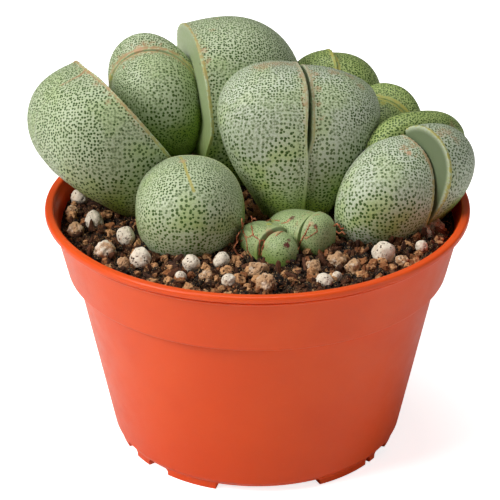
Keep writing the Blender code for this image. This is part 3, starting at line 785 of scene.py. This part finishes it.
# Places along each fibre, across and down in the picture, after its thickness in millimetres
FIBRES = [
    (0.30, [(241.6, 218.6), (242.3, 224), (242.6, 229), (240.5, 231.5), (238.4, 234), (236.7, 238),
            (237.7, 241.5)]),
    (0.42, [(237.7, 241.5), (235.6, 245), (234.2, 248), (235.3, 251), (237.7, 254), (240.5, 255.5),
            (243.3, 257)]),
    (0.30, [(243.3, 223), (243, 227.5), (243.7, 231.6), (245, 236), (246.5, 240), (247.2, 245),
            (247.6, 249)]),
    (0.34, [(247.6, 249), (249, 252.6), (251, 255.5), (252, 257.5)]),
    (0.32, [(251, 216), (252.4, 219.6), (251, 222.5), (251.8, 226.7), (252.4, 231), (252.8, 234.4),
            (254.6, 236.5)]),
    (0.30, [(254.6, 236.5), (257.4, 238.6), (260.2, 240.4), (265, 240.4)]),
    (0.24, [(252.4, 219.6), (254.5, 218.2), (256.3, 220.5)]),
    (0.26, [(238.6, 239), (241, 241), (242.4, 240.4), (240.5, 242.5)]),
    (0.24, [(252.8, 234.4), (250.4, 236.6), (247.6, 237.3), (245, 236)]),
    (0.28, [(260, 240.8), (259.8, 245), (259, 249.5), (259.4, 256)]),
    (0.34, [(264.6, 241), (263.8, 245), (262.6, 249.5), (261.6, 256)]),
    (0.34, [(263.5, 268), (266.5, 267), (269.5, 265.6)]),
    (0.32, [(262.3, 257.6), (261, 261), (263, 262.6), (265, 266)]),
    (0.36, [(290.5, 264), (293, 262.6), (296.6, 261.5), (299, 258.6), (303, 256.2), (305.8, 257.5),
            (309.4, 259)]),
    (0.34, [(309.4, 259), (313, 259.6), (317.2, 257.6)]),
    (0.30, [(297, 261), (299.4, 262), (302, 259.6), (304, 260.4)]),
    (0.32, [(321.4, 254), (324.2, 255.4), (324.8, 252), (325.6, 249)]),
    (0.26, [(324.6, 253), (322.6, 251.8)]),
    (0.40, [(334, 226), (337, 224), (339.5, 226.5), (341, 229), (344, 228)]),
    (0.36, [(336, 231), (339, 233.5), (342, 232), (345, 234.5)]),
    (0.30, [(310, 224.6), (307.8, 228.8), (305.8, 233), (303, 237.4), (300.4, 242), (299.2, 246.4),
            (297.4, 249.8)]),
    (0.24, [(315, 226.6), (317, 231), (313.6, 233.6), (309.4, 236.6), (304.4, 238.6)]),
    (0.24, [(281.5, 223), (285, 222.8), (288.4, 221), (290.4, 219)]),
    (0.28, [(266, 221.8), (270.8, 219.4), (275.6, 220.4), (279.8, 221)]),
    (0.26, [(276, 236), (280.5, 232.4), (283, 231.6)]),
]


def fibre_paths():
    """The fibres' points on the skins, or level with them where they hang free, and their thickness."""
    draw = random.Random(FIBRE_SEED)
    points, edges, widths = [], [], []
    for thickness, seen in FIBRES:
        corners = []
        for across, down in seen:
            hit, normal = seen_on_leaf(across, down, SMALL_HEADS)
            if hit is None:
                way = line_of_sight(across, down)
                reach = (HANGING_DEPTH * MM - camera_place.y) / way.y
                ground = ((SOIL_HEIGHT + HANGING_HEIGHT) * MM - camera_place.z) / way.z
                hit, normal = camera_place + way * min(reach, ground), -way
            corners.append(hit + normal * FIBRE_LIFT * thickness * MM)
        first = len(points)
        for number in range(len(corners) - 1):
            ends = [corners[max(0, min(len(corners) - 1, number + step))] for step in (-1, 0, 1, 2)]
            for step in range(FIBRE_STEPS):
                share = step / FIBRE_STEPS
                spot = (ends[1] * 2 + (ends[2] - ends[0]) * share
                        + (ends[0] * 2 - ends[1] * 5 + ends[2] * 4 - ends[3]) * share ** 2
                        + (ends[1] * 3 - ends[0] - ends[2] * 3 + ends[3]) * share ** 3) / 2
                points.append(spot + Vector([draw.gauss(0, FIBRE_CRINKLE) for _ in range(3)]) * MM)
                widths.append(thickness * draw.uniform(THINNEST_FIBRE, THICKEST_FIBRE))
        points.append(corners[-1])
        widths.append(thickness * FIBRE_TIP)
        edges += [(number, number + 1) for number in range(first, len(points) - 1)]
    return points, edges, np.array(widths)


def fibre_tree():
    """Geometry Nodes: a thin tube along each path, as wide as the path's "width" attribute says."""
    tree, given, sockets = node_group("dry_fibres", {"Paths": "Geometry", "Sides": "Int",
                                                     "Material": "Material"})
    width = add(tree, "GeometryNodeInputNamedAttribute", {"Name": "width"}, data_type="FLOAT")
    path = add(tree, "GeometryNodeMeshToCurve", {0: given["Paths"]})
    ring = add(tree, "GeometryNodeCurvePrimitiveCircle", {"Resolution": given["Sides"], "Radius": 0.5 * MM})
    tube = add(tree, "GeometryNodeCurveToMesh", {"Curve": path.outputs[0], "Profile Curve": ring.outputs[0],
                                                 "Scale": width.outputs[0], "Fill Caps": True})
    end_group(tree, tube.outputs[0], given["Material"])
    return tree, sockets


def fibre_material():
    material, tree, place = nodes_for("dry_fibre", 0.6, Specular_IOR_Level=0.4)
    colour = mixed(tree, ramp(tree, spots(tree, place, 500, 3), 0.35, 0.65), (0.32, 0.08, 0.03, 1),
                   (0.62, 0.24, 0.11, 1))
    pale = ramp(tree, spots(tree, place, 1500, 2), 0.6, 0.7)
    colour = mixed(tree, times(tree, pale, 0.5), colour, (0.72, 0.38, 0.22, 1))
    return finished(material, colour, spots(tree, place, 2500, 3, 0.7), 0.12 * MM)


fibre_points, fibre_edges, fibre_widths = fibre_paths()
fibre_mesh = bpy.data.meshes.new("dry_fibres")
fibre_mesh.from_pydata(fibre_points, fibre_edges, [])
store(fibre_mesh, "width", fibre_widths)
fibres = new_piece("dry_fibres", fibre_mesh)
net_tree, net_sockets = fibre_tree()
grown(fibres, net_tree, net_sockets, {"Sides": 6, "Material": fibre_material()})
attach(fibres, "root")


# Soil. A loose mix of black peat, chips of bark, tan clay lumps and white pumice pebbles, poured in dry
# round the roots and level with the groove under the pot's lip. It is rough, and full of dark gaps.

SOIL_MOUND = 1.5
SOIL_BUMP = 0.7
SOIL_REACH = 67.0
SOIL_SIDE = [(64.9, SOIL_HEIGHT), (61.1, 63.7), (58.4, 62.2), (47.0, 7.6), (45.3, 4.9)]
SOIL_AROUND = 320
SOIL_RINGS = 76
CLOD_SEED = 5
CLOD_SIZES = [(5.0, 0.9), (2.1, 0.6), (0.9, 0.35)]
TOP_DEPTH = 4
COARSE_WAVES = 1.2
FINE_WAVES = 3.1
FINE_SHARE = 0.45
WHITE = 1.0
TAN = -0.1
PINK = 0.4
PEBBLE_SEED = 100
PEBBLE_RISE = 0.6
PEBBLE_LIFT = 0.4
PUMICE_ROUGHNESS = 0.14
CLAY_ROUGHNESS = 0.36
# The pebbles' places from the pot's axis, x and y, their radius in millimetres, and their tone
PEBBLES = [
    (-59.5, 11, 3.0, WHITE), (-53.5, -7, 3.0, WHITE), (-42.5, -20, 3.0, WHITE), (-37, -35.5, 3.3, WHITE),
    (-48.5, -30, 3.0, PINK), (-21, -40, 2.7, WHITE), (-11.5, -36.5, 2.7, WHITE), (-24, -46, 1.7, WHITE),
    (-9, -50, 2.2, WHITE), (40, -32, 3.7, WHITE), (20.5, -50, 2.5, WHITE), (24.5, -46, 1.7, WHITE),
    (57.5, -10.5, 3.0, PINK), (-61.5, 1, 2.0, TAN), (-59, -13.5, 2.5, TAN), (-42.5, -37, 2.0, TAN),
    (-16, -47, 2.0, TAN), (0, -43.5, 2.7, TAN), (2.5, -53, 3.0, TAN), (25, -36.5, 2.5, TAN),
    (30, -40.5, 2.3, TAN), (17.5, -40, 2.3, TAN), (54.5, -16, 2.0, PINK), (52.5, -25.5, 2.2, WHITE),
    (45.5, -35.5, 2.0, TAN),
]


def soil_height(x, y):
    """The soil's height in millimetres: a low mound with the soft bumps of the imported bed."""
    across = math.hypot(x, y) / SOIL_REACH
    bumps = math.sin(x / 5) * math.cos(y / 6) + math.sin((x + 2 * y) / 9)
    return SOIL_HEIGHT + SOIL_MOUND * (1 - across ** 2) + SOIL_BUMP * bumps / 2


def clods(x, y):
    """Rough unevenness of the poured soil, in millimetres."""
    place = Vector((x, y, CLOD_SEED))
    return sum(smooth_noise(place / width) * height for width, height in CLOD_SIZES)


def soil_bed_mesh():
    """The bed as one closed mesh: rings on its top, a side along the pot's wall, and a flat bottom."""
    shape = bmesh.new()
    turns = [math.tau * step / SOIL_AROUND for step in range(SOIL_AROUND)]
    top_radius = SOIL_SIDE[0][0]
    radii = [(top_radius * ring / SOIL_RINGS, None) for ring in range(1, SOIL_RINGS + 1)] + SOIL_SIDE[1:]
    rings = []
    for radius, height in radii:
        ring = []
        for turn in turns:
            x, y = radius * math.cos(turn), radius * math.sin(turn)
            z = soil_height(x, y) + clods(x, y) if height is None else height
            ring.append(shape.verts.new((x, y, z)))
        rings.append(ring)
    centre = shape.verts.new((0, 0, soil_height(0, 0) + clods(0, 0)))
    foot = shape.verts.new((0, 0, SOIL_SIDE[-1][1]))
    for k in range(SOIL_AROUND):
        after = (k + 1) % SOIL_AROUND
        shape.faces.new((centre, rings[0][k], rings[0][after]))
        shape.faces.new((foot, rings[-1][after], rings[-1][k]))
        for ring, next_ring in zip(rings, rings[1:]):
            shape.faces.new((ring[k], next_ring[k], next_ring[after], ring[after]))
    for vertex in shape.verts:
        vertex.co = vertex.co * MM + pot_axis
    return mesh_from(shape, "soil_bed")


def grain_mesh(name, sizes, subdivisions, roughness, seed, pits=0, pit_size=0.2, pit_depth=0.12):
    """One grain in millimetres: a rough ball with round pits, which its "pit" attribute marks."""
    draw = random.Random(seed)
    shape = bmesh.new()
    bmesh.ops.create_icosphere(shape, subdivisions=subdivisions, radius=1)
    shift = Vector([draw.uniform(-40, 40) for _ in range(3)])
    centres = []
    for _ in range(pits):
        centre = Vector([draw.gauss(0, 1) for _ in range(3)]).normalized()
        centres.append((centre, draw.uniform(0.6, 1.3) * pit_size))
    marks = []
    for vertex in shape.verts:
        way = vertex.co.normalized()
        rough = smooth_noise(way * COARSE_WAVES + shift) + FINE_SHARE * smooth_noise(way * FINE_WAVES - shift)
        mark = 0
        for centre, size in centres:
            mark = max(mark, 1 - (way - centre).length / size)
        mark = max(0, mark) ** 0.6
        reach = 1 + roughness * rough - pit_depth * mark
        vertex.co = Vector([way[axis] * reach * sizes[axis] for axis in range(3)])
        marks.append(mark)
    mesh = mesh_from(shape, name)
    store(mesh, "pit", np.array(marks))
    return mesh


def strewn_tree():
    """Geometry Nodes: strews grains from a collection on the ground, each turned and scaled at random."""
    inputs = {"Ground": "Geometry", "Grains": "Collection", "Seed": "Int", "Material": "Material"}
    inputs |= dict.fromkeys(("Apart", "Density", "Smallest", "Largest", "Lowest", "Highest"), "Float")
    tree, given, sockets = node_group("strewn_grains", inputs)
    points = add(tree, "GeometryNodeDistributePointsOnFaces",
                 {"Mesh": given["Ground"], "Distance Min": given["Apart"], "Density Max": given["Density"],
                  "Seed": given["Seed"]}, distribute_method="POISSON")

    def chance(low, high, turn, kind="FLOAT"):
        drawn = add(tree, "FunctionNodeRandomValue", data_type=kind)
        mixer = maths(tree, "ADD", given["Seed"], turn)
        tree.links.new(mixer, drawn.inputs["Seed"])
        slots = [socket for socket in drawn.inputs if socket.enabled]
        for socket, value in zip(slots, (low, high)):
            if isinstance(value, bpy.types.NodeSocket):
                tree.links.new(value, socket)
            else:
                socket.default_value = value
        return next(socket for socket in drawn.outputs if socket.enabled)

    lift = add(tree, "ShaderNodeCombineXYZ", {2: chance(given["Lowest"], given["Highest"], 1)})
    lifted = add(tree, "GeometryNodeSetPosition",
                 {"Geometry": points.outputs["Points"], "Offset": lift.outputs[0]})
    pool = add(tree, "GeometryNodeCollectionInfo", {"Collection": given["Grains"], "Separate Children": True,
                                                    "Reset Children": True})
    turn = add(tree, "FunctionNodeEulerToRotation",
               {0: chance((0, 0, 0), (math.tau, math.tau, math.tau), 2, "FLOAT_VECTOR")})
    grains = add(tree, "GeometryNodeInstanceOnPoints",
                 {"Points": lifted.outputs[0], "Instance": pool.outputs[0], "Pick Instance": True,
                  "Rotation": turn.outputs[0], "Scale": chance(given["Smallest"], given["Largest"], 3)})
    shaded = add(tree, "GeometryNodeStoreNamedAttribute", {"Geometry": grains.outputs[0], "Name": "shade"},
                 data_type="FLOAT", domain="INSTANCE")
    tree.links.new(chance(0.0, 1.0, 4), shaded.inputs["Value"])
    end_group(tree, shaded.outputs[0], given["Material"])
    return tree, sockets


def peat_material():
    material, tree, place = nodes_for("dark_peat", 0.6, Specular_IOR_Level=0.3)
    shade = stored(tree, "shade")
    clumps = spots(tree, place, 380, 4, 0.65)
    warm = ramp(tree, maths(tree, "MULTIPLY_ADD", shade, 0.4, clumps), 0.55, 0.95)
    colour = mixed(tree, warm, (0.004, 0.002, 0.0012, 1), (0.13, 0.044, 0.015, 1))
    bright = ramp(tree, shade, 0.84, 0.9, 0.0, 0.8)
    colour = mixed(tree, bright, colour, (0.44, 0.17, 0.06, 1))
    rusty = ramp(tree, spots(tree, place, 1300, 4, 0.7), 0.57, 0.68)
    colour = mixed(tree, times(tree, rusty, 0.7), colour, (0.36, 0.14, 0.045, 1))
    # Bright golden flecks: pale dust on the crumbs, and painted glints.
    dust_and_glints = ramp(tree, spots(tree, place, 2100, 2, 0.6), 0.61, 0.67)
    colour = mixed(tree, times(tree, dust_and_glints, 0.85), colour, (0.80, 0.50, 0.22, 1))
    roughness = ramp(tree, clumps, 0.3, 0.7, 0.4, 0.85)
    return finished(material, colour, spots(tree, place, 1400, 5, 0.75), 0.9 * MM, roughness)


def stone_material(name, pale, dark, pit_colour, blotch):
    """Porous stone: pale between its pits, with stains of the soil."""
    material, tree, place = nodes_for(name, 0.8, Specular_IOR_Level=0.3)
    pit, shade = stored(tree, "pit"), stored(tree, "shade")
    tone = ramp(tree, maths(tree, "MULTIPLY_ADD", shade, 0.24, spots(tree, place, 420, 4, 0.65)), 0.46, 0.72)
    colour = mixed(tree, tone, dark, pale)
    stain = ramp(tree, spots(tree, place, 650, 4, 0.7), 0.56, 0.68)
    colour = mixed(tree, times(tree, stain, blotch), colour, pit_colour)
    pores = add(tree, "ShaderNodeTexVoronoi", {"Vector": place, "Scale": 1500})
    pores = ramp(tree, pores.outputs["Distance"], 0.26, 0.14)
    pores = times(tree, pores, ramp(tree, spots(tree, place, 500, 2), 0.5, 0.6))
    holes = maths(tree, "MAXIMUM", ramp(tree, pit, 0.25, 0.75), pores)
    colour = mixed(tree, holes, colour, pit_colour)
    height = maths(tree, "SUBTRACT", spots(tree, place, 1500, 4, 0.65), times(tree, holes, 0.6))
    return finished(material, colour, height, 0.3 * MM)


def bark_material():
    """Chips of bark: dark brown, with a grain along them that their "grain" attribute follows."""
    material, tree, place = nodes_for("bark_chip", 0.7, Specular_IOR_Level=0.35)
    shade, grain = stored(tree, "shade"), stored(tree, "grain")
    streaks = add(tree, "ShaderNodeTexNoise", {"W": grain, "Scale": 9.0, "Detail": 4.0, "Roughness": 0.7},
                  noise_dimensions="1D").outputs[0]
    colour = mixed(tree, ramp(tree, streaks, 0.35, 0.65), (0.02, 0.008, 0.004, 1), (0.27, 0.095, 0.036, 1))
    colour = mixed(tree, ramp(tree, shade, 0.6, 0.3, 0.0, 0.7), colour, (0.03, 0.011, 0.006, 1))
    colour = mixed(tree, ramp(tree, shade, 0.8, 0.9, 0.0, 0.6), colour, (0.40, 0.15, 0.055, 1))
    flecks = ramp(tree, spots(tree, place, 1300, 4, 0.7), 0.6, 0.72)
    colour = mixed(tree, times(tree, flecks, 0.7), colour, (0.42, 0.20, 0.09, 1))
    height = maths(tree, "ADD", streaks, spots(tree, place, 1500, 4, 0.7))
    return finished(material, colour, height, 0.35 * MM)


peat = peat_material()
soil_bed = new_piece("soil_bed", soil_bed_mesh(), peat)
soil_bed.data.shade_smooth()
store(soil_bed.data, "shade", np.full(len(soil_bed.data.vertices), 0.3))
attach(soil_bed, "root")
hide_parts("soil")

UPWARDS = Vector((0, 0, 1))


def under_a_leaf(place):
    """Whether a place, in metres, is inside one of the leaves."""
    for tree in leaf_trees.values():
        normal = tree.ray_cast(place, UPWARDS)[1]
        if normal is not None and normal.dot(UPWARDS) > 0:
            return True
    return False


def open_ground(margin):
    """The part of the bed's top that no leaf covers, up to a margin from the pot's wall."""
    shape = bmesh.new()
    shape.from_mesh(soil_bed.data)
    limit = (SOIL_HEIGHT - TOP_DEPTH) * MM
    reach = (SOIL_SIDE[0][0] - margin) * MM
    hidden = []
    for face in shape.faces:
        place = face.calc_center_median()
        if place.z < limit or (place - pot_axis).to_2d().length > reach or under_a_leaf(place):
            hidden.append(face)
    bmesh.ops.delete(shape, geom=hidden, context="FACES")
    return mesh_from(shape, "open_ground")


strewn, strewn_sockets = strewn_tree()
grounds = {margin: open_ground(margin) for margin in (0.6, 2.6, 3.6)}


def strew(name, grains, material, margin, apart, density, smallest, largest, lowest, highest, seed):
    """Strews copies of the grain meshes on the open ground as one plain mesh. Sizes are in millimetres."""
    pool = bpy.data.collections.new(name + "_kinds")
    kinds = [bpy.data.objects.new(name + "_kind", mesh) for mesh in grains]
    for kind in kinds:
        pool.objects.link(kind)
    piece = new_piece(name, grounds[margin].copy())
    grown(piece, strewn, strewn_sockets,
          {"Grains": pool, "Apart": apart * MM, "Density": density, "Smallest": smallest * MM,
           "Largest": largest * MM, "Lowest": lowest * MM, "Highest": highest * MM, "Seed": seed,
           "Material": material})
    for kind in kinds:
        bpy.data.objects.remove(kind)
    bpy.data.collections.remove(pool)
    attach(piece, "root")
    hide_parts("soil")


def chip_mesh(name, length, width, thickness, seed):
    """A splinter of bark: a long rough ball whose grain runs along its X axis."""
    mesh = grain_mesh(name, (length, width, thickness), 2, 0.45, seed)
    grain = np.array([vertex.co.y * 2.1 + vertex.co.z * 1.3 for vertex in mesh.vertices])
    store(mesh, "grain", grain)
    return mesh


crumbs = [grain_mesh("crumb", (1.0, 0.85, 0.7), 1, 0.55, seed) for seed in range(6)]
lumps_of_peat = [grain_mesh("peat_lump", (1.0, 0.85, 0.75), 2, 0.75, seed) for seed in range(20, 28)]
clay_lumps = [grain_mesh("clay_lump", (1.0, 0.85, 0.8), 3, 0.5, seed, 14, 0.26, 0.14)
              for seed in range(40, 46)]
chips = [chip_mesh("chip", 1.9, 0.62, 0.38, seed) for seed in range(60, 66)]
tan_stone = stone_material("tan_clay", (0.58, 0.31, 0.14, 1), (0.20, 0.07, 0.024, 1),
                           (0.02, 0.008, 0.004, 1), 0.85)
# After the material: the least distance from the pot's wall and from each other, how many a square metre
# at most, the smallest and largest size, how low and how high they lie, and the seed
strew("fine_crumbs", crumbs, peat, 0.6, 0.95, 3e6, 0.3, 0.9, -0.1, 0.6, 1)
strew("peat_lumps", lumps_of_peat, peat, 2.6, 2.7, 3e5, 1.2, 2.5, -0.2, 0.8, 2)
strew("bark_chips", chips, bark_material(), 3.6, 3.8, 1e5, 0.8, 1.8, 0.4, 1.7, 3)
strew("clay_bits", clay_lumps, tan_stone, 2.6, 4.7, 1.2e5, 0.7, 2.3, 0.4, 1.4, 4)
for ground in grounds.values():
    bpy.data.meshes.remove(ground)


def pebble_mesh():
    """The listed pebbles, each with its own bumps and pits, lying half in the soil."""
    shape = bmesh.new()
    shades, marks = [], []
    for seed, (x, y, radius, tone) in enumerate(PEBBLES, PEBBLE_SEED):
        draw = random.Random(seed)
        rough = PUMICE_ROUGHNESS if tone == WHITE else CLAY_ROUGHNESS
        sizes = [radius * draw.uniform(0.92, 1.12) for _ in range(3)]
        grain = grain_mesh("pebble", sizes, 5, rough, seed, 36, 0.10, 0.06)
        turn = Euler([draw.uniform(0, math.tau) for _ in range(3)]).to_matrix().to_4x4()
        height = soil_height(x, y) + PEBBLE_RISE * radius + PEBBLE_LIFT
        place = Vector((x, y, height)) * MM + pot_axis
        grain.transform(Matrix.Translation(place) @ turn @ Matrix.Scale(MM, 4))
        shape.from_mesh(grain)
        shades += [tone] * len(grain.vertices)
        values = np.zeros(len(grain.vertices))
        grain.attributes["pit"].data.foreach_get("value", values)
        marks.append(values)
        bpy.data.meshes.remove(grain)
    mesh = mesh_from(shape, "pumice_pebbles")
    for key, values in (("shade", np.array(shades)), ("pit", np.concatenate(marks))):
        if key in mesh.attributes:
            mesh.attributes.remove(mesh.attributes[key])
        store(mesh, key, values)
    mesh.shade_smooth()
    return mesh


pale_stone = stone_material("pale_pumice", (0.80, 0.71, 0.58, 1), (0.50, 0.30, 0.16, 1),
                            (0.08, 0.035, 0.016, 1), 0.75)
pebbles = new_piece("pumice_pebbles", pebble_mesh(), pale_stone)
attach(pebbles, "root")
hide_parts("soil")


# Floor, lights and camera, which aren't part of the object: a plain, level, pale floor, a large soft
# lamp from the upper left in front, one from above, a fill from the right and a bright, even sky.

LAMPS_FACE = Vector((0, 0, 0.08))
FLOOR_SIZE = 1.6
FLOOR_GLOW = 0.78


def pale_floor():
    """A matt white that glows a little where it is looked at, as an overexposed backdrop does."""
    material, tree, place = nodes_for("pale_floor", 0.85, Specular_IOR_Level=0.2,
                                      Emission_Color=(1, 1, 1, 1))
    shader = tree.nodes["Principled BSDF"]
    looked_at = add(tree, "ShaderNodeLightPath").outputs["Is Camera Ray"]
    tree.links.new(times(tree, looked_at, FLOOR_GLOW), shader.inputs["Emission Strength"])
    shade = spots(tree, place, 3, 1)
    colour = mixed(tree, ramp(tree, shade, 0.3, 0.7), (0.90, 0.90, 0.90, 1), (0.93, 0.93, 0.925, 1))
    tree.links.new(colour, shader.inputs["Base Color"])
    return material


floor_shape = bmesh.new()
bmesh.ops.create_grid(floor_shape, x_segments=8, y_segments=8, size=FLOOR_SIZE)
floor = new_piece("pale_floor", mesh_from(floor_shape, "pale_floor"), pale_floor())


def soft_lamp(name, place, size, power, colour=(1, 1, 1)):
    """A round area lamp that faces the middle of the plant."""
    lamp = bpy.data.lights.new(name, "AREA")
    lamp.shape = "DISK"
    lamp.size = size
    lamp.energy = power
    lamp.color = colour
    holder = bpy.data.objects.new(name, lamp)
    bpy.context.scene.collection.objects.link(holder)
    holder.location = place
    aim = LAMPS_FACE - Vector(place)
    holder.rotation_euler = aim.to_track_quat("-Z", "Y").to_euler()


soft_lamp("key_lamp", (-0.92, -0.50, 0.92), 0.6, 15.8, (1.0, 0.985, 0.955))
soft_lamp("top_lamp", (-0.1, 0.2, 1.25), 0.8, 6.5)
soft_lamp("fill_lamp", (1.05, -0.5, 0.16), 0.6, 2.4)
SKY_LIGHT = 0.10
world = bpy.data.worlds.new("bright_sky")
bpy.context.scene.world = world
world.use_nodes = True
sky = world.node_tree
backdrop = sky.nodes["Background"]
backdrop.inputs["Color"].default_value = (1, 1, 1, 1)
ray = add(sky, "ShaderNodeLightPath")
strength = add(sky, "ShaderNodeMix", {0: ray.outputs["Is Camera Ray"], 2: SKY_LIGHT, 3: 1.0})
sky.links.new(strength.outputs[0], backdrop.inputs["Strength"])

camera_data = bpy.data.cameras.new("camera")
camera_data.lens = CAMERA_LENS
camera_data.sensor_width = CAMERA_SENSOR
camera = bpy.data.objects.new("camera", camera_data)
bpy.context.scene.collection.objects.link(camera)
camera.location = camera_place
camera.rotation_euler = (math.pi / 2 - tilt, 0, 0)
bpy.context.scene.camera = camera

bpy.context.scene.view_settings.view_transform = "Standard"
